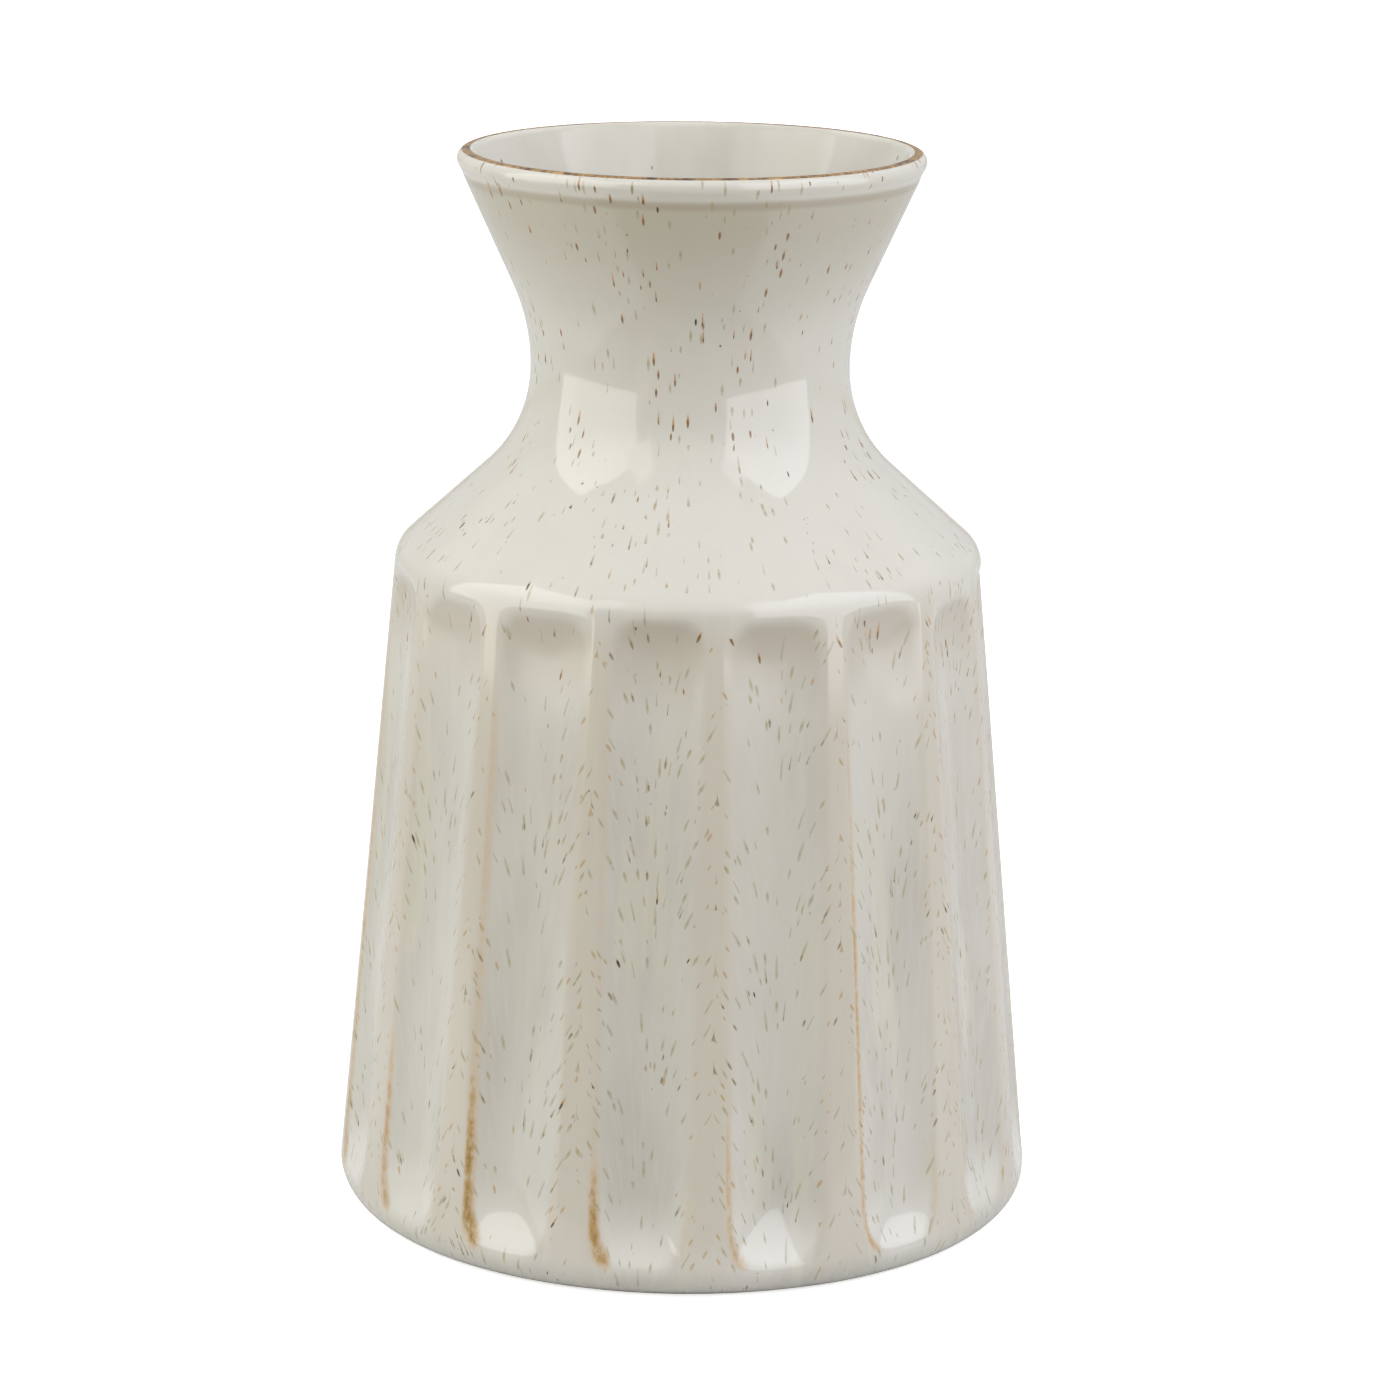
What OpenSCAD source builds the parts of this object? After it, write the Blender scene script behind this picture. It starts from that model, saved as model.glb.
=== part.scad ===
// Fluted stoneware vase.
// A flared mouth and a narrow waist stand on a sloping shoulder and a tall, slightly conical belly.
// The belly is carved with upright flutes. The clay is one shell, glazed outside and inside,
// and left bare along the crest of the lip and under the foot.
// Millimetres, +Z up, origin on the axis where the foot rests.

/* [Overall] */
// height from the foot to the crest of the lip
vase_h = 200; // [160:1:240]

/* [Mouth and neck] */
// radius of the ring that runs through the middle of the rounded lip
lip_ring_r = 41.6; // [36:0.1:48]
// radius of the rounded lip, half of its thickness
lip_r = 1.5; // [1.2:0.1:2.5]
// outside radius of the waist, the narrowest part of the neck
waist_r = 29.6; // [25:0.1:34]
// height of the waist
waist_z = 160; // [150:0.5:168]
// radius of the curve that sweeps from the waist up to the mouth
flare_curve_r = 37; // [25:0.5:60]
// radius of the curve that sweeps from the waist down to the shoulder
neck_curve_r = 26; // [15:0.5:40]

/* [Shoulder and belly] */
// slope of the shoulder, measured from upright
shoulder_deg = 48; // [40:0.5:60]
// rounding where the shoulder turns down into the belly
shoulder_round_r = 6; // [4:0.1:10]
// outside radius of the belly at floor level, before the foot is rounded
belly_r = 66.6; // [60:0.1:72]
// inward lean of the belly wall, measured from upright
belly_deg = 5.4; // [3:0.1:8]
// rounding at the bottom of the belly
foot_round_r = 6; // [3:0.1:10]

/* [Flutes] */
// number of flutes round the belly
flutes = 16; // [12:1:20]
// turn of the set of flutes about the axis
flute_turn = 5; // [0:0.5:22.5]
// radius of the hollow of one flute
flute_r = 25; // [15:0.5:40]
// depth of a flute at its middle
flute_depth = 2.3; // [1:0.1:3]
// radius of the rounded ends of a flute
flute_end_r = 26.5; // [25.5:0.5:30]
// height of the top of a flute
flute_top_z = 123.5; // [115:0.5:125]
// height of the bottom of a flute
flute_bottom_z = 8.5; // [8:0.5:15]

/* [Walls] */
// thickness of the neck wall, glaze included
neck_wall = 4; // [3.5:0.1:6]
// thickness of the shoulder wall, glaze included
shoulder_wall = 5; // [4:0.1:7]
// thickness of the belly wall between the flutes, glaze included
belly_wall = 6; // [5.5:0.1:8]
// rounding inside the shoulder
inner_shoulder_r = 8; // [4:0.5:14]
// rounding inside the bottom
inner_floor_r = 9; // [5:0.5:14]
// height of the inside floor above the foot, glaze included
floor_z = 8.5; // [7:0.5:12]

/* [Glaze] */
// thickness of each coat of glaze
coat = 0.5; // [0.4:0.05:0.8]
// angle above level, on the outside of the lip, where the outer coat begins
lip_bare_out = 35; // [20:1:70]
// angle above level, on the inside of the lip, where the inner coat begins
lip_bare_in = 70; // [40:1:80]
// angle below level, on the rounded foot, where the outer coat ends
foot_bare = 72; // [60:1:80]

/* [Foot] */
// inside radius of the ring the vase stands on
foot_inner_r = 53; // [45:0.5:56]
// depth of the recess inside the ring
recess = 2.5; // [1.5:0.1:3]
// bevel on both edges of the ring
foot_bevel = 0.6; // [0.3:0.1:1]

/* [Hidden] */
$fn = 192;
eps = 1;
arc_steps = 10;
// angle of the line that joins two round forms, seen from the first one
lip_centre = [lip_ring_r, vase_h - lip_r];
flare_centre = [waist_r + flare_curve_r, waist_z];
neck_centre = [waist_r + neck_curve_r, waist_z];
centres = flare_centre - lip_centre;
centres_deg = atan2(centres.y, centres.x);
flare_deg = -(centres_deg + acos((flare_curve_r + lip_r) / norm(centres)));
inner_flare_deg = -(centres_deg + acos((flare_curve_r + neck_wall - lip_r) / norm(centres)));
// the flutes
pitch_deg = 360 / flutes;
belly_top_r = belly_r - flute_top_z * tan(belly_deg);
axis_gap = flute_r - flute_depth;
end_reach = sqrt(pow(flute_end_r, 2) - pow(axis_gap, 2));
cut_length = (flute_top_z - flute_bottom_z) / cos(belly_deg) + 2 * (flute_end_r - end_reach);

// a point at a distance and an angle from a centre
function polar(c, r, a) = c + r * [cos(a), sin(a)];

// points along a round form, from one angle to another
function arc(c, r, a0, a1, n = arc_steps) = [for (i = [0 : n]) polar(c, r, a0 + (a1 - a0) * i / n)];

// where two lines cross, each given by the angle of its normal and its distance from the origin
function meet(a, da, b, db) =
    [da * sin(b) - db * sin(a), db * cos(a) - da * cos(b)] / sin(b - a);

// distance from the origin of a line through a point, with its normal at an angle
function offset_of(p, a) = p.x * cos(a) + p.y * sin(a);

// outside of the vase, from the lip down to the foot, sunk by a depth g below the glaze
function shoulder_line() = offset_of(neck_centre, shoulder_deg) - neck_curve_r;
function belly_line() = belly_r * cos(belly_deg);
function shoulder_centre() = meet(
    shoulder_deg, shoulder_line() - shoulder_round_r,
    belly_deg, belly_line() - shoulder_round_r);
function foot_centre() = [
    (belly_line() - foot_round_r - foot_round_r * sin(belly_deg)) / cos(belly_deg),
    foot_round_r];
function outside(g, lip_from, foot_to) = concat(
    arc(lip_centre, lip_r - g, lip_from, -flare_deg),
    arc(flare_centre, flare_curve_r + g, 180 - flare_deg, 180),
    arc(neck_centre, neck_curve_r + g, 180 + shoulder_deg / arc_steps, 180 + shoulder_deg),
    arc(shoulder_centre(), shoulder_round_r - g, shoulder_deg, belly_deg),
    arc(foot_centre(), foot_round_r - g, belly_deg, foot_to));

// inside of the vase, from the floor up to the lip, sunk by a depth g below the glaze
function inner_shoulder_line() = offset_of(neck_centre, shoulder_deg) - neck_curve_r - shoulder_wall;
function inner_belly_line() = belly_line() - belly_wall;
function inner_shoulder_centre() = meet(
    shoulder_deg, inner_shoulder_line() - inner_shoulder_r,
    belly_deg, inner_belly_line() - inner_shoulder_r);
function inner_floor_centre() = [
    (inner_belly_line() - inner_floor_r - (floor_z + inner_floor_r) * sin(belly_deg)) / cos(belly_deg),
    floor_z + inner_floor_r];
function inner_neck_r() = neck_curve_r + neck_wall;
function inside(g, lip_to) = concat(
    arc(inner_floor_centre(), inner_floor_r + g, -90, belly_deg),
    arc(inner_shoulder_centre(), inner_shoulder_r + g, belly_deg, shoulder_deg),
    arc(neck_centre, inner_neck_r() - g, 180 + shoulder_deg, 180 + shoulder_deg / arc_steps),
    arc(flare_centre, flare_curve_r + neck_wall - g, 180, 180 - inner_flare_deg),
    arc(lip_centre, lip_r - g, 180 - inner_flare_deg, lip_to));

// the tool that hollows one flute, sunk by a depth g below the glaze
module flute_cut(g) {
    r = flute_r + g;
    end_r = flute_end_r + g;
    half = cut_length / 2;
    rotate_extrude()
        intersection() {
            translate([0, -half - g])
                square([r, cut_length + 2 * g]);
            union() {
                translate([0, half - flute_end_r])
                    circle(end_r);
                translate([0, flute_end_r - half])
                    circle(end_r);
                translate([0, flute_end_r - half])
                    square([end_r, cut_length - 2 * flute_end_r]);
            }
        }
}

module flute_cuts(g) {
    mid_z = (flute_top_z + flute_bottom_z) / 2;
    mid_r = belly_r - mid_z * tan(belly_deg);
    for (i = [0 : flutes - 1])
        rotate(flute_turn - 90 + (i + 0.5) * pitch_deg)
            translate([mid_r, 0, mid_z])
                rotate([0, -belly_deg, 0])
                    translate([axis_gap, 0, 0])
                        flute_cut(g);
}

// one shell of clay: wall, floor and foot ring, with a bare bead along the crest of the lip
module stoneware_body() {
    bead = arc(lip_centre, lip_r, 180 - lip_bare_in, lip_bare_out);
    foot_edge = polar(foot_centre(), foot_round_r, -foot_bare);
    ring_r = foot_edge.x;
    foot = [
        [ring_r, foot_bevel],
        [ring_r - foot_bevel, 0],
        [foot_inner_r + foot_bevel, 0],
        [foot_inner_r, foot_bevel],
        [foot_inner_r, recess],
        [0, recess],
        [0, floor_z - coat]];
    color([0.62, 0.42, 0.25])
        difference() {
            rotate_extrude()
                polygon(concat(
                    bead,
                    outside(coat, lip_bare_out, -foot_bare),
                    foot,
                    inside(coat, 180 - lip_bare_in)));
            flute_cuts(coat);
        }
}

// outer coat, from the lip to just above the foot, following every flute
module outer_glaze() {
    lip_end = polar(lip_centre, lip_r + eps, lip_bare_out);
    foot_end = polar(foot_centre(), foot_round_r + eps, -foot_bare);
    color([0.80, 0.79, 0.72])
        difference() {
            rotate_extrude()
                polygon(concat(
                    [[0, vase_h]],
                    outside(0, 90, -90),
                    [[0, 0]]));
            flute_cuts(0);
            difference() {
                rotate_extrude()
                    polygon(concat(
                        [[0, vase_h + eps], [lip_end.x, vase_h + eps], lip_end],
                        outside(coat, lip_bare_out, -foot_bare),
                        [foot_end, [foot_end.x, -eps], [0, -eps]]));
                flute_cuts(coat);
            }
        }
}

// inner coat, over the whole inside from the floor up to the lip
module inner_glaze() {
    clay_side = inside(coat, 180 - lip_bare_in);
    last = len(clay_side) - 1;
    color([0.78, 0.77, 0.71])
        rotate_extrude()
            polygon(concat(
                [[0, floor_z - coat], [0, floor_z]],
                inside(0, 180 - lip_bare_in),
                [for (i = [0 : last]) clay_side[last - i]]));
}

stoneware_body();
outer_glaze();
inner_glaze();
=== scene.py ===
"""Fluted stoneware vase: glazed clay with a flared mouth, a narrow waist and a carved belly."""
import math
import bpy
import numpy as np
from mathutils import Matrix, Vector


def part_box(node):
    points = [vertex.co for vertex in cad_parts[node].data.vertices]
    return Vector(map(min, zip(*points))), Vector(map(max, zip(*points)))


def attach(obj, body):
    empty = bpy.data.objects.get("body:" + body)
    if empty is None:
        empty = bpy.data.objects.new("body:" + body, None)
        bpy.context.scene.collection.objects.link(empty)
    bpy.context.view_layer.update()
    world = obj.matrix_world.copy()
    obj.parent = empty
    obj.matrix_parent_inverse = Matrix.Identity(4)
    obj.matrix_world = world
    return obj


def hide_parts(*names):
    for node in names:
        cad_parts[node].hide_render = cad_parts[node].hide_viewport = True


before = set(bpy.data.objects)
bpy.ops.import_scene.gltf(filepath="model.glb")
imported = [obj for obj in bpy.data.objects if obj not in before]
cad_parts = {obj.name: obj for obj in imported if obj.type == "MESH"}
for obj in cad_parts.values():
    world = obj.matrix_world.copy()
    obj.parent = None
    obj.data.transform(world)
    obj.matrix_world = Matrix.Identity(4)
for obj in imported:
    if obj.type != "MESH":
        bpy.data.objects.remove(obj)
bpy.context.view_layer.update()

MM = 0.001
DEG = math.pi / 180
RANDOM = np.random.default_rng(16)

# ---------------------------------------------------------------- driving dimensions, in mm and degrees
VASE_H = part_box("stoneware_body")[1][2] / MM
LIP_R = 1.8                 # the rolled lip's own radius
LIP_RING_R = 41.3           # and how far its middle is from the axis
WAIST_R = 29.6
WAIST_Z = 160.0
FLARE_CURVE_R = 37.0        # the hollow curves above and below the waist
NECK_CURVE_R = 26.0
SHOULDER = 48.0             # the shoulder's normal points up by this much
SHOULDER_ROUND_R = 6.0
BELLY_R = 66.6              # where the line of the belly's side meets the table
BELLY_LEAN = 5.4
FOOT_ROUND_R = 6.0
NECK_WALL = 4.0
SHOULDER_WALL = 5.0
BELLY_WALL = 6.0
INNER_SHOULDER_R = 8.0
INNER_FLOOR_R = 9.0
FLOOR_Z = 8.5
COAT = 0.5                  # thickness of each coat of glaze
LIP_BARE_OUT = 57.0         # the lip is bare between these two directions: 0 points out, 90 up
LIP_BARE_IN = 105.0
FOOT_BARE = 72.0            # the outer coat ends this far down round the foot
FOOT_INNER_R = 53.0
FOOT_BEVEL = 0.6
RECESS = 2.5

# ---------------------------------------------------------------- flutes
FLUTES = 16
FLUTE_PITCH = 360.0 / FLUTES
FLUTE_TURN = 5.0            # the first land stands this far right of the front
FLUTE_DRIFT = 1.6           # the carved lines lean this much to the right from foot to shoulder
FLUTE_DEPTH = 2.3
FLUTE_HALF_LOW = 9.1        # half width of a hollow near the foot
FLUTE_HALF_HIGH = 9.3       # and under the shoulder
FLUTE_TOP_Z = 123.2
FLUTE_BOTTOM_Z = 5.4
DEEPER_LOW = 0.32           # the hollows are this share deeper near their lower ends
DEEPER_Z = (50, 18)         # and get deeper between these heights
FLUTE_TOP_RUN = 9.0         # length over which a hollow comes up to the surface, at its top
FLUTE_BOTTOM_RUN = 15.0     # and at its bottom
FLUTE_SQUARENESS = 3.6      # 2 is a round end, more is squarer
WOBBLE = 0.10               # the surface wavers by this much, over this length
WOBBLE_LENGTH = 40.0
CUT_WAVER = 0.12            # and so does the depth of a hollow
CUT_WAVER_LENGTH = 18.0
LIP_CREASE = 0.12           # depth of the crease under the rolled lip
CREASE_BELOW = 1.3          # and how far below the roll it is, and its half width
CREASE_HALF = 0.65
CREASE_CROWDING = 1.7       # mesh rows crowd towards the crease by this power
EDGE_SOFTNESS = 0.15        # glaze rounds the carved edges by this share of the depth
FLOW_LEAN = 30.0            # runs of glaze beside a land lean this much towards the hollow
STREAK_SHEAR = 0.22         # and its streaks are sheared by this much
SHEAR_LEAST_R = 30.0        # as if the vase were nowhere narrower than this


# ---------------------------------------------------------------- cross-section
def polar(centre, radius, angle):
    """Points at angles round a centre."""
    angle = np.atleast_1d(angle) * DEG
    return np.stack([centre[0] + radius * np.cos(angle), centre[1] + radius * np.sin(angle)], axis=-1)


def arc(centre, radius, start, end, count, sign=1.0):
    """Points on a round stretch and the outward normals there; sign -1 is for a hollow stretch."""
    angles = np.linspace(start, end, round(count) + 1)
    return polar(centre, radius, angles), sign * polar((0.0, 0.0), 1.0, angles)


def straight(start, end, count):
    """Points between two points, without the ends, and the normals there."""
    steps = np.linspace(0, 1, round(count) + 2)[1:-1, None]
    along = (end - start) / np.linalg.norm(end - start)
    normal = np.array([-along[1], along[0]])
    return start * (1 - steps) + end * steps, np.repeat(normal[None], int(count), 0)


def meet(angle_a, offset_a, angle_b, offset_b):
    """Where two lines cross, each given by its normal's angle and its distance from the origin."""
    a = angle_a * DEG
    b = angle_b * DEG
    x = offset_a * math.sin(b) - offset_b * math.sin(a)
    z = offset_b * math.cos(a) - offset_a * math.cos(b)
    return np.array([x, z]) / math.sin(b - a)


LIP_CENTRE = np.array([LIP_RING_R, VASE_H - LIP_R])
FLARE_CENTRE = np.array([WAIST_R + FLARE_CURVE_R, WAIST_Z])
NECK_CENTRE = np.array([WAIST_R + NECK_CURVE_R, WAIST_Z])
CENTRES = FLARE_CENTRE - LIP_CENTRE
CENTRES_ANGLE = math.atan2(CENTRES[1], CENTRES[0]) / DEG
CENTRES_GAP = float(np.hypot(*CENTRES))
FLARE = -(CENTRES_ANGLE + math.acos((FLARE_CURVE_R + LIP_R) / CENTRES_GAP) / DEG)
INNER_FLARE = -(CENTRES_ANGLE + math.acos((FLARE_CURVE_R + NECK_WALL - LIP_R) / CENTRES_GAP) / DEG)
SHOULDER_WAY = np.array([math.cos(SHOULDER * DEG), math.sin(SHOULDER * DEG)])
SHOULDER_LINE = float(NECK_CENTRE @ SHOULDER_WAY) - NECK_CURVE_R
BELLY_LINE = BELLY_R * math.cos(BELLY_LEAN * DEG)
SHOULDER_CENTRE = meet(
    SHOULDER, SHOULDER_LINE - SHOULDER_ROUND_R, BELLY_LEAN, BELLY_LINE - SHOULDER_ROUND_R
)


def corner_at(height, line, radius):
    """Centre of a round corner at a height that touches the leaning wall from inside."""
    x = (line - radius - height * math.sin(BELLY_LEAN * DEG)) / math.cos(BELLY_LEAN * DEG)
    return np.array([x, height])


FOOT_CENTRE = corner_at(FOOT_ROUND_R, BELLY_LINE, FOOT_ROUND_R)
BELLY_TOP_Z = polar(SHOULDER_CENTRE, SHOULDER_ROUND_R, BELLY_LEAN)[0][1]
BELLY_BOTTOM_Z = polar(FOOT_CENTRE, FOOT_ROUND_R, BELLY_LEAN)[0][1]


ENDS_ABOVE_Z = 108.0        # the hollows' upper ends are above this height
ENDS_BELOW_Z = 26.0         # and their lower ends below this one
FINE_ROWS = (36, 11, 30)    # mesh rows over the upper ends, the middle and the lower ends
COARSE_ROWS = (13, 4, 11)


def belly_rows(fine):
    """Heights of the mesh rows down the belly: close together where the hollows end."""
    counts = FINE_ROWS if fine else COARSE_ROWS
    high = np.linspace(BELLY_TOP_Z, ENDS_ABOVE_Z, counts[0])[1:]
    middle = np.linspace(ENDS_ABOVE_Z, ENDS_BELOW_Z, counts[1])[1:]
    low = np.linspace(ENDS_BELOW_Z, BELLY_BOTTOM_Z, counts[2])[1:-1]
    return np.concatenate([high, middle, low])


def under_lip(start, end, fine):
    """The straight flare below the lip; the visible one has a shallow crease just under the lip."""
    points, normals = straight(start, end, 14 if fine else 3)
    if not fine:
        return points, normals
    shares = np.linspace(0, 1, len(points) + 2)[1:-1, None] ** CREASE_CROWDING
    far = shares * np.linalg.norm(end - start)
    crease = LIP_CREASE * np.exp(-((far - CREASE_BELOW) / CREASE_HALF) ** 2)
    return start * (1 - shares) + end * shares - normals * crease, normals


def outer_section(depth, fine):
    """Outside of the vase from the lip down to the foot, sunk below the glaze by a depth."""
    k = 2 if fine else 0.5
    lip = arc(LIP_CENTRE, LIP_R - depth, LIP_BARE_OUT, -FLARE, 5 * k)
    flare = arc(FLARE_CENTRE, FLARE_CURVE_R + depth, 180 - FLARE, 180, 5 * k, -1.0)
    neck = arc(NECK_CENTRE, NECK_CURVE_R + depth, 180 + SHOULDER / 8 / k, 180 + SHOULDER, 8 * k - 1, -1.0)
    corner = arc(SHOULDER_CENTRE, SHOULDER_ROUND_R - depth, SHOULDER, BELLY_LEAN, 5 * k)
    foot = arc(FOOT_CENTRE, FOOT_ROUND_R - depth, BELLY_LEAN, -FOOT_BARE, 6 * k)
    heights = belly_rows(fine)
    wall_normal = polar((0.0, 0.0), 1.0, BELLY_LEAN)[0]
    offset = depth / math.cos(BELLY_LEAN * DEG)
    wall_points = np.stack([BELLY_R - offset - heights * math.tan(BELLY_LEAN * DEG), heights], axis=-1)
    wall = (wall_points, np.repeat(wall_normal[None], len(heights), 0))
    # The coarse outline's straight part gets two points and one normal, so its rows below that use
    # the next row's normal and revolve leaves out the last one. It is hidden between clay and glaze.
    parts = [
        lip,
        under_lip(lip[0][-1], flare[0][0], fine),
        flare,
        neck,
        straight(neck[0][-1], corner[0][0], 3 * k),
        corner,
        wall,
        foot,
    ]
    return np.concatenate([p[0] for p in parts]), np.concatenate([p[1] for p in parts])


def inner_section(depth, k):
    """Inside of the vase from the floor up to the lip, sunk below the glaze by a depth."""
    belly_line = BELLY_LINE - BELLY_WALL
    floor_centre = corner_at(FLOOR_Z + INNER_FLOOR_R, belly_line, INNER_FLOOR_R)
    shoulder_centre = meet(
        SHOULDER,
        SHOULDER_LINE - SHOULDER_WALL - INNER_SHOULDER_R,
        BELLY_LEAN,
        belly_line - INNER_SHOULDER_R,
    )
    floor = arc(floor_centre, INNER_FLOOR_R + depth, -90, BELLY_LEAN, 5 * k)
    shoulder = arc(shoulder_centre, INNER_SHOULDER_R + depth, BELLY_LEAN, SHOULDER, 4 * k)
    neck_radius = NECK_CURVE_R + NECK_WALL - depth
    neck = arc(NECK_CENTRE, neck_radius, 180 + SHOULDER, 180 + SHOULDER / 8 / k, 8 * k - 1)
    flare = arc(FLARE_CENTRE, FLARE_CURVE_R + NECK_WALL - depth, 180, 180 - INNER_FLARE, 5 * k)
    lip = arc(LIP_CENTRE, LIP_R - depth, 180 - INNER_FLARE, LIP_BARE_IN, 4 * k)
    parts = [
        floor[0],
        straight(floor[0][-1], shoulder[0][0], 10 * k)[0],
        shoulder[0],
        straight(shoulder[0][-1], neck[0][0], 2 * k)[0],
        neck[0],
        flare[0],
        straight(flare[0][-1], lip[0][0], 4 * k)[0],
        lip[0],
    ]
    return np.concatenate(parts)


# ---------------------------------------------------------------- carving
# The flutes are carved by hand, so each is a little off: in degrees to the side, then in millimetres
# wider to each side, taller at its top, and deeper.
FLUTE_SHIFT = RANDOM.normal(0, 0.35, FLUTES)
FLUTE_WIDEN = RANDOM.normal(0, 0.25, FLUTES)
FLUTE_RISE = RANDOM.normal(0, 0.5, FLUTES)
FLUTE_CUT = RANDOM.normal(0, 0.12, FLUTES)
FOOT_RISE = 0.6             # share of the extra height that its lower end gets too

INSIDE_STEPS = 20           # mesh columns across one hollow
LAND_STEPS = 5              # and across half of the land beside it


def column_places():
    """Places of one flute's mesh columns: 0 in its middle, 1 at its edge, 2 in the land's middle."""
    t = np.linspace(-1, 1, INSIDE_STEPS + 1)
    inside = 0.5 * t + 0.5 * np.sin(t * math.pi / 2)
    land = 1 + np.linspace(0, 1, LAND_STEPS + 1)[1:]
    return np.concatenate([-land[::-1][1:], inside, land])


PLACES = column_places()
COLUMNS = FLUTES * len(PLACES)


WAVES = 7


def wave(phi, z, seed, size):
    """A slow random wobble round and along the vase, about 1 high: a sum of sines."""
    rng = np.random.default_rng(seed)
    total = np.zeros(np.broadcast(phi, z).shape)
    for _ in range(WAVES):
        turns = rng.integers(1, 7)
        total += np.sin(turns * phi * DEG + z / size * rng.uniform(0.4, 1.2) + rng.uniform(0, 6.28))
    return total / math.sqrt(WAVES / 2)


def flute_half_width(z):
    """Half the width of a hollow at a height, a little more towards its top."""
    share = np.clip(z / FLUTE_TOP_Z, 0, 1)
    return FLUTE_HALF_LOW + (FLUTE_HALF_HIGH - FLUTE_HALF_LOW) * share


def columns_at(z):
    """Azimuth of every mesh column at a height, with the flute and the place across it."""
    z = np.clip(z, FLUTE_BOTTOM_Z, FLUTE_TOP_Z)
    radius = BELLY_R - z * math.tan(BELLY_LEAN * DEG)
    number = np.repeat(np.arange(FLUTES), len(PLACES))
    place = np.tile(PLACES, FLUTES)
    middle = FLUTE_TURN + FLUTE_DRIFT * (z / FLUTE_TOP_Z - 0.5) + (number + 0.5) * FLUTE_PITCH
    shift = FLUTE_SHIFT[number]
    half = (flute_half_width(z) + FLUTE_WIDEN[number]) / radius / DEG
    inside = np.abs(place) <= 1
    edge = middle + shift + np.sign(place) * half
    land_middle = middle + np.sign(place) * FLUTE_PITCH / 2
    blend = np.abs(place) - 1
    azimuth = np.where(inside, middle + shift + place * half, edge * (1 - blend) + land_middle * blend)
    return azimuth, number, place


def hollow_depth(number, place, z):
    """Depth of the carving, from 0 on a land to 1 in the middle of a hollow."""
    top = FLUTE_TOP_Z + FLUTE_RISE[number]
    bottom = FLUTE_BOTTOM_Z - FOOT_RISE * FLUTE_RISE[number]
    across = np.abs(place)
    up = np.clip((z - top + FLUTE_TOP_RUN) / FLUTE_TOP_RUN, 0, 3)
    down = np.clip((bottom + FLUTE_BOTTOM_RUN - z) / FLUTE_BOTTOM_RUN, 0, 3)
    along = np.maximum(up, down)
    reach = (across ** FLUTE_SQUARENESS + along ** FLUTE_SQUARENESS) ** (2 / FLUTE_SQUARENESS)
    rise = 1 - reach
    rounded = 0.5 * (rise + np.sqrt(rise * rise + EDGE_SOFTNESS ** 2))
    return rounded - 0.5 * (math.sqrt(1 + EDGE_SOFTNESS ** 2) - 1)


def revolve(points, normals, carve):
    """Rows of vertices round the axis, cut by the flutes if carve is true, and facts on each vertex."""
    rows = []
    facts = {"across": [], "depth": [], "azimuth": [], "flute": []}
    for (r, z), (nr, nz) in zip(points, normals):
        azimuth, number, place = columns_at(np.full(COLUMNS, z))
        depth = hollow_depth(number, place, z) if carve else np.zeros(COLUMNS)
        wobble = WOBBLE * wave(azimuth, z, 3, WOBBLE_LENGTH)
        full_depth = FLUTE_DEPTH + FLUTE_CUT[number] + CUT_WAVER * wave(azimuth, z, 5, CUT_WAVER_LENGTH)
        cut = full_depth * (1 + DEEPER_LOW * smooth(*DEEPER_Z, z)) * depth
        radius = r - (cut - wobble) * nr
        height = z - (cut - wobble * abs(nr)) * nz
        a = azimuth * DEG
        rows.append(np.stack([radius * np.sin(a), -radius * np.cos(a), height], axis=-1))
        facts["across"].append(place)
        facts["depth"].append(depth)
        facts["azimuth"].append(azimuth)
        facts["flute"].append(number)
    return np.array(rows), {k: np.array(v) for k, v in facts.items()}


# ---------------------------------------------------------------- meshes
def ring_faces(rows, columns, closed):
    """Quads between rows of a mesh that goes round the axis; closed joins the last row to the first."""
    upper = np.arange(rows if closed else rows - 1)
    lower = (upper + 1) % rows
    c = np.arange(columns)
    n = (c + 1) % columns
    quads = np.stack([
        upper[:, None] * columns + c,
        lower[:, None] * columns + c,
        lower[:, None] * columns + n,
        upper[:, None] * columns + n,
    ], axis=-1)
    return quads.reshape(-1, 4)


SHARP_EDGE = 55             # edges that turn more than this stay sharp


def make_mesh(name, vertices, quads, fans=()):
    """A smooth object from vertices in millimetres, with fans of triangles that close its ends."""
    faces = [tuple(q) for q in quads.tolist()]
    faces += [tuple(t) for t in fans]
    mesh = bpy.data.meshes.new(name)
    mesh.from_pydata((vertices * MM).tolist(), [], faces)
    mesh.polygons.foreach_set("use_smooth", [True] * len(mesh.polygons))
    mesh.validate()
    mesh.update()
    mesh.set_sharp_from_angle(angle=SHARP_EDGE * DEG)
    obj = bpy.data.objects.new(name, mesh)
    bpy.context.scene.collection.objects.link(obj)
    return obj


def capped_mesh(name, rows, first_z, last_z):
    """A mesh of rows round the axis, closed at both ends by fans round a middle vertex on the axis."""
    count = len(rows) * COLUMNS
    vertices = np.concatenate([rows.reshape(-1, 3), [[0, 0, first_z]], [[0, 0, last_z]]])
    c = np.arange(COLUMNS)
    n = (c + 1) % COLUMNS
    last = count - COLUMNS
    fans = np.concatenate([
        np.stack([c, n, np.full(COLUMNS, count)], axis=-1),
        np.stack([last + n, last + c, np.full(COLUMNS, count + 1)], axis=-1),
    ]).tolist()
    return make_mesh(name, vertices, ring_faces(len(rows), COLUMNS, False), fans)


def add_fact(obj, name, values):
    """Stores a number or a vector for every vertex, for the materials."""
    values = np.asarray(values, dtype=np.float32)
    kind = "FLOAT_VECTOR" if values.ndim == 2 else "FLOAT"
    layer = obj.data.attributes.new(name, kind, "POINT")
    layer.data.foreach_set("vector" if values.ndim == 2 else "value", values.ravel())


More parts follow.
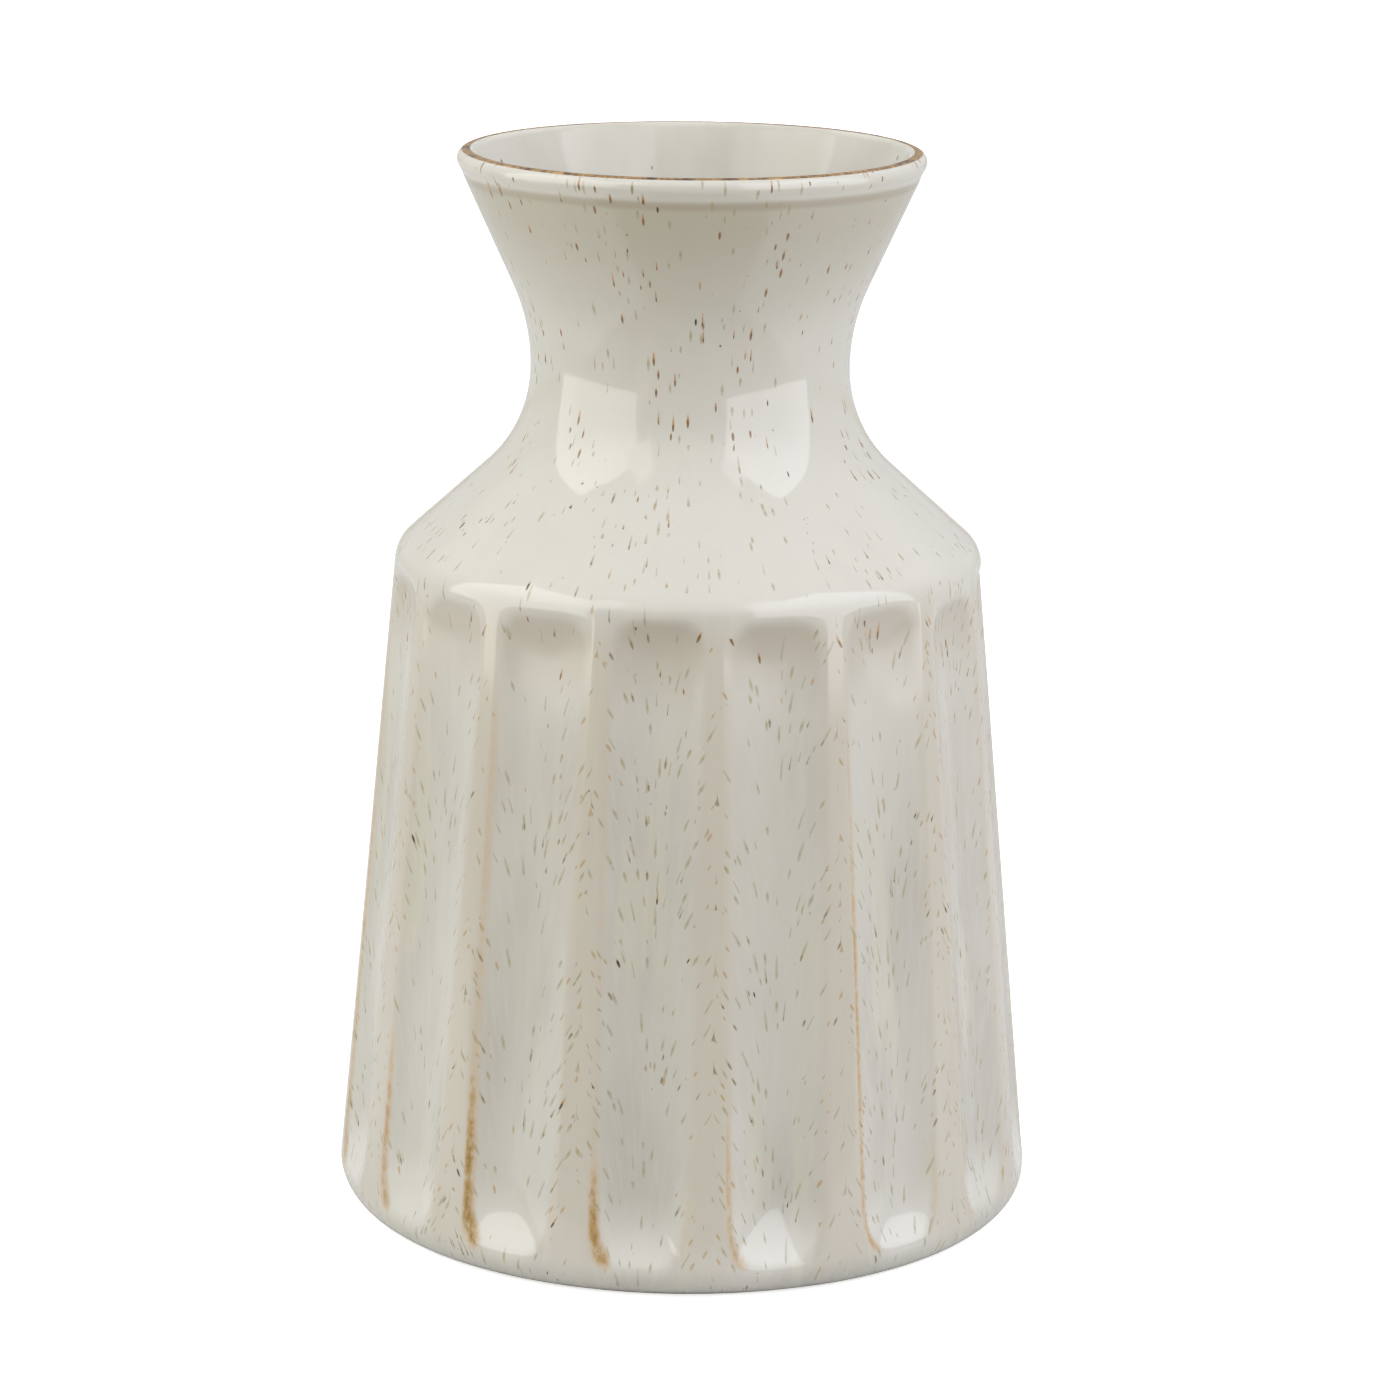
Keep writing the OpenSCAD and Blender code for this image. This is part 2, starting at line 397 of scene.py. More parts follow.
def smooth(low, high, x):
    """A smooth step from 0 at low to 1 at high."""
    t = np.clip((x - low) / (high - low), 0, 1)
    return t * t * (3 - 2 * t)


def path_length(points):
    """Distance along a cross-section from its first point."""
    steps = np.hypot(*np.diff(points, axis=0).T)
    return np.concatenate([[0], np.cumsum(steps)])


# How the clay breaks through at the edges of each land, counted from the front land to the right:
# strength at the right edge, height that its strong part reaches, width in millimetres,
# strength of the faint line above it, strength at the left edge. The others are by chance,
# between the limits below.
BREAKS = {
    0: (0.55, 30, 0.75, 0.12, 0.20),
    1: (0.72, 74, 0.50, 0.40, 0.10),
    2: (0.45, 70, 0.40, 0.15, 0.25),
    3: (0.60, 62, 0.50, 0.25, 0.20),
    12: (0.60, 76, 0.70, 0.40, 0.10),
    13: (0.70, 34, 0.80, 0.15, 0.10),
    14: (1.00, 32, 1.10, 0.34, 0.20),
    15: (0.95, 20, 0.95, 0.20, 0.20),
}
BREAK_LIMITS = ((0.4, 1.0), (16, 50), (0.6, 1.5), (0.1, 0.4), (0.1, 0.4))
STRONG_ABOVE = 14           # the strong part fades out from this far above its height
STRONG_BELOW = 6            # to this far below it
FAINT_Z = (118, 95)         # the faint line fades in between these heights
LEFT_Z = (34, 14)           # and the left edge's break between these
FOOT_Z = (3, 7)             # and all of it fades out towards the foot
RIGHT_INSET = 0.3           # a break lies inside the edge by this share of its width
LEFT_INSET = 0.5            # or by this many millimetres, at the left
LEFT_WIDTH = 0.9
NEAR_EDGE = (0.45, 0.8)     # and only at these places across the hollow and beyond


def break_of(land):
    """The break at a land's edges: as seen at the front, by chance at the back."""
    if land in BREAKS:
        return BREAKS[land]
    rng = np.random.default_rng(100 + land)
    return [rng.uniform(low, high) for low, high in BREAK_LIMITS]


def rust_amount(facts, points):
    """How much of the clay shows through at every vertex, beside the carved edges."""
    z = points[:, 1][:, None]
    number = facts["flute"]
    place = facts["across"]
    half = flute_half_width(z)
    radius = BELLY_R - z * math.tan(BELLY_LEAN * DEG)
    land_half = FLUTE_PITCH * DEG * radius / 2 - half
    away = np.abs(place)
    down = np.clip((FLUTE_BOTTOM_Z + FLUTE_BOTTOM_RUN - z) / FLUTE_BOTTOM_RUN, 0, 3)
    reach = (away ** FLUTE_SQUARENESS + down ** FLUTE_SQUARENESS) ** (1 / FLUTE_SQUARENESS)
    off_end = (reach - 1) * half
    off_edge = np.where(away <= 1, off_end, np.maximum((away - 1) * land_half, off_end))
    rust = np.zeros(number.shape)
    for flute in range(FLUTES):
        strength, tall, width, faint, _ = break_of(flute)
        left_strength = break_of((flute + 1) % FLUTES)[4]
        strong = strength * smooth(tall + STRONG_ABOVE, tall - STRONG_BELOW, z)
        line = np.maximum(strong, faint * smooth(*FAINT_Z, z))
        right_edge = line * np.exp(-((off_edge + RIGHT_INSET * width) / width) ** 2)
        left_line = left_strength * smooth(*LEFT_Z, z)
        left_edge = left_line * np.exp(-((off_edge + LEFT_INSET) / LEFT_WIDTH) ** 2)
        rust = np.where(number == flute, np.where(place < 0, right_edge, left_edge), rust)
    return rust * smooth(*NEAR_EDGE, away) * smooth(*FOOT_Z, z)


CARVED_TOP_Z = (126, 119)   # on its way down the glaze comes into the flutes between these heights
CARVED_FOOT_Z = (2, 8)      # and leaves them between these
LAND_LEAN_PLACE = 0.9       # on a land it leans as at this place in the hollow
LEAN_SHARE = 1.1            # the lean is full at 1 / this share of the way to the edge
HAIR_SHARE = 1.3            # and that of the hair-fine streaks at this one
LAND_PLACES = (0.80, 1.05)  # the land's tint begins between these places


def add_glaze_facts(obj, points, facts, hidden):
    """Stores what the outer glaze needs on the coat's visible side; its hidden vertices get zeros."""
    length = path_length(points)[:, None] * np.ones((1, COLUMNS))
    z = points[:, 1][:, None]
    radius = points[:, 0][:, None]
    turned = facts["azimuth"] * DEG
    across = facts["across"]

    def store(name, values):
        flat = values.reshape(-1, 3) if values.ndim == 3 else values.reshape(-1)
        zeros = np.zeros((hidden,) + flat.shape[1:])
        add_fact(obj, name, np.concatenate([flat, zeros]))

    def unrolled(shear):
        """The surface as if unrolled along its length, with the runs leaning by a shear."""
        angle = turned + shear * length / np.maximum(radius, SHEAR_LEAST_R)
        return np.stack([radius * np.sin(angle), radius * np.cos(angle), length], axis=-1)

    # glaze ran down and off the lands, so its runs lean towards the middle of each hollow
    carved = smooth(*CARVED_TOP_Z, z) * smooth(*CARVED_FOOT_Z, z)
    inside = np.where(np.abs(across) < 1, across, np.sign(across) * LAND_LEAN_PLACE)
    lean = -np.clip(inside * LEAN_SHARE, -1, 1) * FLOW_LEAN * DEG * carved
    sideways = np.stack([np.cos(turned), -np.sin(turned), 0 * turned], axis=-1)
    down = np.stack([0 * turned, 0 * turned, 1 + 0 * turned], axis=-1)
    store("flow", unrolled(0.0))
    store("flow_left", unrolled(-STREAK_SHEAR))
    store("flow_right", unrolled(STREAK_SHEAR))
    store("along", down * np.cos(lean)[..., None] + sideways * np.sin(lean)[..., None])
    store("beside", sideways * np.cos(lean)[..., None] - down * np.sin(lean)[..., None])
    store("lean", -np.clip(inside * HAIR_SHARE, -1, 1) * carved)
    store("hollow", facts["depth"])
    store("land", smooth(*LAND_PLACES, np.abs(across)) * carved)
    store("rust", rust_amount(facts, points))
    store("height", z * np.ones((1, COLUMNS)))


def outer_coat():
    """The outer glaze: a closed coat that follows every flute."""
    points, normals = outer_section(0.0, True)
    rows, facts = revolve(points, normals, True)
    under, _ = revolve(*outer_section(COAT, False), True)
    all_rows = np.concatenate([rows, under[::-1]])
    obj = make_mesh("outer_glaze_coat", all_rows.reshape(-1, 3), ring_faces(len(all_rows), COLUMNS, True))
    add_glaze_facts(obj, points, facts, len(under) * COLUMNS)
    return obj


def plain_rows(points):
    """Rows round the axis for a stretch that has neither flutes nor wobble."""
    return revolve(points, np.zeros_like(points), False)[0]


def inner_coat():
    """The inner glaze: a closed coat over the inside, from the floor to the lip."""
    rows = plain_rows(inner_section(0.0, 2))
    under = plain_rows(inner_section(COAT, 1)[::-1])
    return capped_mesh("inner_glaze_coat", np.concatenate([rows, under]), FLOOR_Z, FLOOR_Z - COAT)


def clay_shell():
    """The clay: wall, floor, foot ring and the bare bead along the lip."""
    bead = arc(LIP_CENTRE, LIP_R, LIP_BARE_IN, LIP_BARE_OUT, 6)
    outside = outer_section(COAT, False)
    edge = polar(FOOT_CENTRE, FOOT_ROUND_R, -FOOT_BARE)[0]
    foot = np.array([
        [edge[0], FOOT_BEVEL],
        [edge[0] - FOOT_BEVEL, 0],
        [FOOT_INNER_R + FOOT_BEVEL, 0],
        [FOOT_INNER_R, FOOT_BEVEL],
        [FOOT_INNER_R, RECESS - FOOT_BEVEL],
        [FOOT_INNER_R - FOOT_BEVEL, RECESS],
        [FOOT_INNER_R * 0.5, RECESS],
    ])
    points = np.concatenate([bead[0], outside[0]])
    normals = np.concatenate([bead[1], outside[1]])
    upper, _ = revolve(points, normals, True)
    rows = np.concatenate([plain_rows(inner_section(COAT, 1)), upper, plain_rows(foot)])
    return capped_mesh("clay_shell", rows, FLOOR_Z - COAT, RECESS)


# ---------------------------------------------------------------- materials
class Nodes:
    """Short ways to add shader nodes to one material."""

    def __init__(self, name):
        self.material = bpy.data.materials.new(name)
        self.material.use_nodes = True
        self.tree = self.material.node_tree
        self.shader = self.tree.nodes["Principled BSDF"]

    def add(self, kind, **settings):
        node = self.tree.nodes.new(kind)
        for key, value in settings.items():
            setattr(node, key, value)
        return node

    def put(self, socket, value):
        if isinstance(value, bpy.types.NodeSocket):
            self.tree.links.new(value, socket)
        else:
            socket.default_value = value

    def fact(self, name, vector=False):
        node = self.add("ShaderNodeAttribute", attribute_name=name)
        return node.outputs["Vector" if vector else "Fac"]

    def math(self, operation, a, b=0.0):
        node = self.add("ShaderNodeMath", operation=operation)
        self.put(node.inputs[0], a)
        self.put(node.inputs[1], b)
        return node.outputs[0]

    def times(self, a, b):
        return self.math("MULTIPLY", a, b)

    def vectors(self, operation, a, b):
        node = self.add("ShaderNodeVectorMath", operation=operation)
        self.put(node.inputs[0], a)
        self.put(node.inputs[1], b)
        return node.outputs["Value" if operation == "DOT_PRODUCT" else "Vector"]

    def stretch(self, vector, size):
        """Divides a vector by sizes, so that a pattern of size 1 comes out that large."""
        return self.vectors("DIVIDE", vector, size)

    def noise(self, vector, size, detail=2.0, rough=0.5):
        node = self.add("ShaderNodeTexNoise")
        self.put(node.inputs["Vector"], self.stretch(vector, size))
        node.inputs["Scale"].default_value = 1.0
        node.inputs["Detail"].default_value = detail
        node.inputs["Roughness"].default_value = rough
        return node.outputs["Fac"]

    def cells(self, vector):
        """Scattered points, about 1 apart: the distance to the nearest, its place and its chances."""
        node = self.add("ShaderNodeTexVoronoi")
        self.put(node.inputs["Vector"], vector)
        node.inputs["Scale"].default_value = 1.0
        chances = self.add("ShaderNodeSeparateColor")
        self.put(chances.inputs[0], node.outputs["Color"])
        return node.outputs["Distance"], node.outputs["Position"], chances.outputs

    def range(self, value, low, high, to_low=0.0, to_high=1.0):
        """A smooth step from one number at low to another at high."""
        node = self.add("ShaderNodeMapRange", interpolation_type="SMOOTHSTEP")
        self.put(node.inputs["Value"], value)
        self.put(node.inputs["From Min"], low)
        self.put(node.inputs["From Max"], high)
        self.put(node.inputs["To Min"], to_low)
        self.put(node.inputs["To Max"], to_high)
        return node.outputs["Result"]

    def mix(self, share, a, b):
        """Blends two numbers; blend does it for colours."""
        node = self.add("ShaderNodeMix", data_type="FLOAT")
        self.put(node.inputs[0], share)
        self.put(node.inputs[2], a)
        self.put(node.inputs[3], b)
        return node.outputs[0]

    def blend(self, share, a, b):
        node = self.add("ShaderNodeMix", data_type="RGBA")
        self.put(node.inputs["Factor"], share)
        self.put(node.inputs["A"], a)
        self.put(node.inputs["B"], b)
        return node.outputs["Result"]

    def bump(self, height, distance):
        node = self.add("ShaderNodeBump")
        self.put(node.inputs["Height"], height)
        node.inputs["Distance"].default_value = distance
        return node.outputs["Normal"]


# Patterns on the outer glaze are in millimetres: round the vase, and along its outline.
HAIR_SIZE = (1.1, 1.1, 14)
VEIL_SIZE = (5, 5, 60)
CLOUD_SIZE = (16, 16, 50)
MOTTLE_SIZE = (1.1, 1.1, 2.2)
CROWD_SIZE = (14, 14, 26)
SWELL_SIZE = (7, 7, 12)
BUMP = 0.05 * MM

# Heights in millimetres over which the outer glaze changes.
POOL_AND_GLINT_Z = (9, 20)            # paler in the hollows' lower ends, where glaze pools, with painted highlight for the glints there
PALER_Z = (78, 124)         # paler towards the shoulder
ARCH_SHADE_Z = (104, 120)         # painted shade in the hollows' upper ends
THIN_Z = (166, 193)         # thinner up the flare
THICK_LIP_Z = (194.5, 196.5)
CREASE_SHADE_Z = (193.6, 195.0)   # painted shade: a brownish dark line in the crease under the lip
CREASE_SHADE_END_Z = (195.3, 196.2)
ARCH_SPECKS_Z = (106, 113)  # some brown specks in the hollows' upper ends
ARCH_SPECKS_END_Z = (120, 123)
FAINT_SPECKS_Z = (116, 126) # fewer faint specks above the flutes
SHORT_SPECKS_Z = (118, 145) # and shorter ones
DARK_SPECKS_Z = (118, 150)  # fewer dark specks up the shoulder
NECK_SPECKS_Z = (134, 158)  # more brown ones on the neck

MILK = (0.465, 0.451, 0.402, 1)
HAZE = (0.415, 0.397, 0.35, 1)
# glaze pools in the hollows' lower ends; this paler colour is also painted highlight for the glints there
POOLED_AND_GLINT = (0.56, 0.545, 0.50, 1)
CREAM = (0.475, 0.462, 0.38, 1)
PALE_STREAK = (0.51, 0.50, 0.46, 1)
# the liner colours are paler than the outer glaze: partly painted light for the bright, reflecting inside
# of the mouth
LINER_PALE_LIT = (0.55, 0.53, 0.475, 1)
LINER_MILK_LIT = (0.48, 0.46, 0.40, 1)
SHOULDER_MILK = (0.525, 0.512, 0.464, 1)
# painted shade in the hollows' upper ends, where the carving turns down
ARCH_PAINTED_SHADE = (0.345, 0.295, 0.225, 1)
DUSK = (0.15, 0.12, 0.055, 1)
# painted shade: the dark line in the crease under the lip
CREASE_PAINTED_SHADE = (0.25, 0.20, 0.13, 1)
LAND_TINT = (0.455, 0.415, 0.345, 1)
THIN = (0.36, 0.337, 0.262, 1)
PEACH = (0.46, 0.385, 0.29, 1)
OCHRE = (0.35, 0.22, 0.072, 1)
OLIVE = (0.265, 0.25, 0.125, 1)
BROWN = (0.16, 0.088, 0.03, 1)
RUN = (0.39, 0.20, 0.058, 1)
UMBER = (0.15, 0.068, 0.014, 1)
IRON = (0.03, 0.015, 0.008, 1)
CLAY_DARK = (0.10, 0.05, 0.014, 1)
CLAY_LIGHT = (0.38, 0.225, 0.085, 1)
CLAY_BURNT = (0.06, 0.028, 0.01, 1)


def speck_layer(n, colour, flow, cell, shift, share, width, length, tints, strength):
    """Specks of iron that ran with the glaze: a head below in the second tint, a fading tail above."""
    size = (cell[0], cell[0], cell[1])
    moved = n.vectors("ADD", n.stretch(flow, size), shift)
    _, place, chances = n.cells(moved)
    offset = n.vectors("MULTIPLY", n.vectors("SUBTRACT", moved, place), size)
    side = n.math("ABSOLUTE", n.vectors("DOT_PRODUCT", offset, n.fact("beside", vector=True)))
    down = n.vectors("DOT_PRODUCT", offset, n.fact("along", vector=True))
    there = n.math("LESS_THAN", chances[0], share)
    wide = n.times(n.range(chances[1], 0, 1, 0.55, 1.25), width)
    long = n.times(n.range(chances[2], 0, 1, 0.35, 1.3), length)
    up = n.math("DIVIDE", n.times(down, -1.0), long)
    taper = n.times(wide, n.range(up, 0.0, 1.0, 1.0, 0.6))
    slim = n.range(n.math("DIVIDE", side, taper), 0.35, 1.2, 1.0, 0.0)
    fade = n.times(n.range(up, 0.3, 1.0, 1.0, 0.0), n.range(up, -0.1, 0.15))
    tail = n.times(n.times(slim, fade), there)
    head_down = n.math("DIVIDE", n.times(down, 0.34), wide)
    head_side = n.math("DIVIDE", n.times(side, 1.15), wide)
    head_far = n.math("ADD", n.times(head_down, head_down), n.times(head_side, head_side))
    head = n.times(n.range(head_far, 0.3, 1.3, 1.0, 0.0), there)
    colour = n.blend(n.times(tail, strength), colour, tints[0])
    return n.blend(n.times(head, strength), colour, tints[1])


def streaked_milk(n, flow, clouds):
    """The glaze's own colour: milky clouds, creamy veils and hair-fine pale runs."""
    lean = n.fact("lean")
    straight_hair = n.noise(flow, HAIR_SIZE, detail=3, rough=0.6)
    left_hair = n.noise(n.fact("flow_left", vector=True), HAIR_SIZE, detail=3, rough=0.6)
    right_hair = n.noise(n.fact("flow_right", vector=True), HAIR_SIZE, detail=3, rough=0.6)
    hair = n.mix(n.range(lean, 0.15, 0.55), straight_hair, left_hair)
    hair = n.mix(n.range(lean, -0.15, -0.55), hair, right_hair)
    veil = n.noise(flow, VEIL_SIZE, detail=2)
    colour = n.blend(n.range(clouds, 0.35, 0.65), MILK, HAZE)
    colour = n.blend(n.range(veil, 0.52, 0.68, 0.0, 0.7), colour, CREAM)
    return n.blend(n.range(hair, 0.44, 0.72, 0.0, 0.3), colour, PALE_STREAK)


def thick_and_thin(n, colour, height, arch):
    """Paler where the glaze is thick and where it pools, with painted highlight for the glints in the
    hollows' lower ends; darker where it is thin, with painted shade in the crease under the lip and in the
    hollows' upper ends.
    """
    colour = n.blend(n.range(height, *PALER_Z, 0.0, 0.75), colour, SHOULDER_MILK)
    # painted highlight for the glints in the hollows' lower ends, together with the glaze that pools there
    pool_and_glint = n.times(n.range(n.fact("hollow"), 0.0, 0.3), n.range(height, *POOL_AND_GLINT_Z, 0.75, 0.0))
    colour = n.blend(pool_and_glint, colour, POOLED_AND_GLINT)
    worn = n.times(n.range(height, *THIN_Z, 0.0, 0.75), n.range(height, *THICK_LIP_Z, 1.0, 0.0))
    colour = n.blend(worn, colour, THIN)
    # painted shade in the crease under the lip
    crease = n.times(n.range(height, *CREASE_SHADE_Z), n.range(height, *CREASE_SHADE_END_Z, 1.0, 0.0))
    colour = n.blend(n.times(crease, 0.42), colour, CREASE_PAINTED_SHADE)
    colour = n.blend(n.times(n.fact("land"), 0.6), colour, LAND_TINT)
    return n.blend(arch, colour, ARCH_PAINTED_SHADE)


def broken_edges(n, colour, flow):
    """Peach, ochre and brown where the clay breaks through at the carved edges."""
    mottle = n.noise(flow, MOTTLE_SIZE, detail=4, rough=0.65)
    broken = n.times(n.fact("rust"), n.range(mottle, 0.25, 0.7, 0.6, 1.35))
    colour = n.blend(n.range(broken, 0.03, 0.45), colour, PEACH)
    colour = n.blend(n.range(broken, 0.35, 0.95, 0.0, 0.9), colour, OCHRE)
    return n.blend(n.range(broken, 0.85, 1.25, 0.0, 0.6), colour, BROWN)


def all_specks(n, colour, flow, height):
    """Five layers of specks: at the lands' edges, faint, dark, brown and rare ones."""
    crowd = n.noise(flow, CROWD_SIZE, detail=1)
    edges = n.range(n.fact("land"), 0.0, 0.35, 0.02, 0.30)
    faint = n.times(n.range(crowd, 0.35, 0.65, 0.20, 0.60), n.range(height, *FAINT_SPECKS_Z, 1.0, 0.55))
    strong = n.range(crowd, 0.4, 0.65, 0.04, 0.26)
    dark = n.times(strong, n.range(height, *DARK_SPECKS_Z, 0.8, 0.15))
    on_neck = n.times(n.range(height, *NECK_SPECKS_Z), n.range(crowd, 0.40, 0.64, 0.03, 0.42))
    in_arch = n.times(
        n.range(height, *ARCH_SPECKS_Z, 0.0, 0.11), n.range(height, *ARCH_SPECKS_END_Z, 1.0, 0.0)
    )
    brown = n.math("ADD", on_neck, in_arch)
    rare = n.times(strong, 0.6)
    faint_length = n.range(height, *SHORT_SPECKS_Z, 4.2, 2.2)
    layers = (
        # cells' width and length, shift, share, specks' width and length, tail and head, strength
        ((2.6, 4.4), (4.4, 6.1, 7.7), edges, 0.26, 2.2, (PEACH, OCHRE), 0.6),
        ((1.9, 5.2), (3.1, 1.7, 0.4), faint, 0.28, faint_length, (OLIVE, OLIVE), 0.44),
        ((3.2, 5.4), (7.3, 2.9, 5.1), dark, 0.24, 3.4, (OLIVE, DUSK), 0.66),
        ((2.8, 4.0), (2.3, 5.5, 3.4), brown, 0.26, 2.7, (RUN, UMBER), 0.85),
        ((6.0, 7.5), (1.9, 8.4, 2.2), rare, 0.24, 2.2, (OCHRE, IRON), 0.9),
    )
    for layer in layers:
        colour = speck_layer(n, colour, flow, *layer)
    return colour


def glaze_material():
    """Outer glaze: milky, streaked, broken to ochre at the carved edges and specked with iron."""
    n = Nodes("speckled_glaze")
    flow = n.fact("flow", vector=True)
    height = n.fact("height")
    clouds = n.noise(flow, CLOUD_SIZE, detail=3)
    # painted shade in the hollows' upper ends; the same mask also roughens the glaze there
    arch = n.times(n.range(n.fact("hollow"), 0.0, 0.4), n.range(height, *ARCH_SHADE_Z, 0.0, 0.5))
    colour = streaked_milk(n, flow, clouds)
    colour = thick_and_thin(n, colour, height, arch)
    colour = broken_edges(n, colour, flow)
    n.put(n.shader.inputs["Base Color"], all_specks(n, colour, flow, height))
    gloss = n.range(clouds, 0.3, 0.7, 0.07, 0.09)
    # kept below 0.27: where the roughness crossed that, a faint outline showed in the render
    n.put(n.shader.inputs["Roughness"], n.math("ADD", gloss, n.times(arch, 0.34)))
    n.shader.inputs["IOR"].default_value = 1.6
    swell = n.noise(flow, SWELL_SIZE, detail=1)
    n.put(n.shader.inputs["Normal"], n.bump(swell, BUMP))
    return n.material


def liner_material():
    """Inner glaze: the same glaze, plainer, and paler than the outside: partly painted light for the
    bright inside of the mouth.
    """
    n = Nodes("liner_glaze")
    place = n.add("ShaderNodeTexCoord").outputs["Object"]
    clouds = n.noise(place, (0.02, 0.02, 0.05), detail=3)
    colour = n.blend(n.range(clouds, 0.35, 0.65), LINER_PALE_LIT, LINER_MILK_LIT)
    distance, _, chances = n.cells(n.stretch(place, (0.0035, 0.0035, 0.008)))
    spot = n.range(distance, 0.06, 0.12, 1.0, 0.0)
    there = n.math("GREATER_THAN", chances[0], 0.8)
    colour = n.blend(n.times(spot, there), colour, BROWN)
    n.put(n.shader.inputs["Base Color"], colour)
    n.put(n.shader.inputs["Roughness"], n.range(clouds, 0.3, 0.7, 0.08, 0.13))
    n.shader.inputs["IOR"].default_value = 1.5
    return n.material


def clay_material():
    """Bare iron-rich clay."""
    n = Nodes("bare_clay")
    place = n.add("ShaderNodeTexCoord").outputs["Object"]
    grain = n.noise(place, (0.0011, 0.0011, 0.0011), detail=4, rough=0.7)
    patch = n.noise(place, (0.004, 0.004, 0.004), detail=3)
    colour = n.blend(n.range(grain, 0.35, 0.65), CLAY_DARK, CLAY_LIGHT)
    colour = n.blend(n.range(patch, 0.52, 0.66), colour, CLAY_BURNT)
    n.put(n.shader.inputs["Base Color"], colour)
    n.put(n.shader.inputs["Roughness"], n.range(grain, 0.3, 0.7, 0.35, 0.55))
    n.put(n.shader.inputs["Normal"], n.bump(grain, BUMP))
    return n.material


# ---------------------------------------------------------------- studio
TABLE_FRONT = -0.125        # the white table top ends just in front of the vase
TABLE_HALF = 0.95
TABLE_BACK = 1.5
PAPER_GAP = 0.0005
ROOM_HALF = 1.6
BACKDROP_HEIGHT = 1.6
BACKDROP_GLOW = 1.0
FLOOR_GLOW = 0.70
PAPER_GREY = (0.70, 0.70, 0.70, 1)
PAPER_PALE = (0.72, 0.72, 0.72, 1)
AIR_LOW_FRONT = 0.27        # brightness of the room above the table: low in front, low behind, overhead
AIR_LOW_BACK = 0.70
AIR_HIGH = 1.06
AIR_BELOW = 0.60            # and of the warmer floor beyond the table
AIR_BEHIND = 0.25           # front turns to back where a direction's y is within this of 0
AIR_OVERHEAD = (0.28, 0.62) # side turns to overhead where its z is between these
AIR_HORIZON = 0.08          # and floor turns to side where its z is within this of 0
ROOM_FLOOR_TINT = (1.0, 0.93, 0.80, 1)
ROOM_TINT = (1.0, 1.0, 1.0, 1)


def paper_material(name, glow):
    """Plain white paper, lit from within as brightly as glow says."""
    n = Nodes(name)
    place = n.add("ShaderNodeTexCoord").outputs["Object"]
    tone = n.noise(place, (0.3, 0.3, 0.3), detail=2)
    n.put(n.shader.inputs["Base Color"], n.blend(tone, PAPER_GREY, PAPER_PALE))
    n.shader.inputs["Roughness"].default_value = 0.9
    n.shader.inputs["Emission Color"].default_value = (1, 1, 1, 1)
    n.shader.inputs["Emission Strength"].default_value = glow
    return n.material


def make_sheet(name, corners, material):
    """One flat sheet of the stage, from its four corners."""
    mesh = bpy.data.meshes.new(name)
    mesh.from_pydata(corners, [], [(0, 1, 2, 3)])
    obj = bpy.data.objects.new(name, mesh)
    bpy.context.scene.collection.objects.link(obj)
    obj.data.materials.append(material)
    return obj


def seen_only(obj):
    """Keeps a sheet in the picture but out of the lighting and the reflections."""
    obj.visible_diffuse = False
    obj.visible_glossy = False
    obj.visible_shadow = False


def make_stage():
    """A white table, unseen, that lights the vase from below, and the paper and walls that are seen."""
    w = TABLE_HALF
    table = [(-w, TABLE_FRONT, 0), (w, TABLE_FRONT, 0), (w, TABLE_BACK, 0), (-w, TABLE_BACK, 0)]
    under = [(x, y, -PAPER_GAP) for x, y, _ in table]
    base = make_sheet("table_top", under, paper_material("table_white", 0.0))
    base.visible_camera = False
    r = ROOM_HALF
    paper = [(-r, -r, 0), (r, -r, 0), (r, r, 0), (-r, r, 0)]
    seen_only(make_sheet("table_paper", paper, paper_material("paper_white", FLOOR_GLOW)))
    walls_white = paper_material("backdrop_white", BACKDROP_GLOW)
    for number in range(4):
        x, y = paper[number][:2]
        next_x, next_y = paper[(number + 1) % 4][:2]
        wall = [(x, y, 0), (next_x, next_y, 0), (next_x, next_y, BACKDROP_HEIGHT), (x, y, BACKDROP_HEIGHT)]
        seen_only(make_sheet(f"backdrop_{number}", wall, walls_white))


def add_panel(name, centre, size, facing, radiance, colour):
    """A flat soft light; radiance is its brightness as seen."""
    light = bpy.data.lights.new(name, "AREA")
    light.shape = "RECTANGLE"
    light.size = size[0]
    light.size_y = size[1]
    light.energy = radiance * math.pi * size[0] * size[1]
    light.color = colour
    obj = bpy.data.objects.new(name, light)
    obj.location = centre
    obj.rotation_euler = Vector(facing).to_track_quat("-Z", "Y").to_euler()
    bpy.context.scene.collection.objects.link(obj)


PANEL_AWAY = 0.45           # the panels stand this far to each side
LEFT_RADIANCE = 1.95
RIGHT_RADIANCE = 1.9
FRONT_RADIANCE = 1.20
LEFT_COLOUR = (1.0, 0.995, 0.95)
RIGHT_COLOUR = (0.98, 0.99, 1.07)
PANELS = (
    # name, side, place along y and height of its middle, length and height, brightness, colour
    ("panel_left", -1, (-0.26, 0.44), (0.64, 0.74), LEFT_RADIANCE, LEFT_COLOUR),
    ("panel_left_front", -1, (-0.63, 0.90), (0.40, 0.64), FRONT_RADIANCE, LEFT_COLOUR),
    ("panel_right", 1, (-0.47, 0.495), (0.94, 0.85), RIGHT_RADIANCE, RIGHT_COLOUR),
    ("panel_right_front", 1, (-0.67, 1.12), (0.54, 0.40), FRONT_RADIANCE, RIGHT_COLOUR),
)


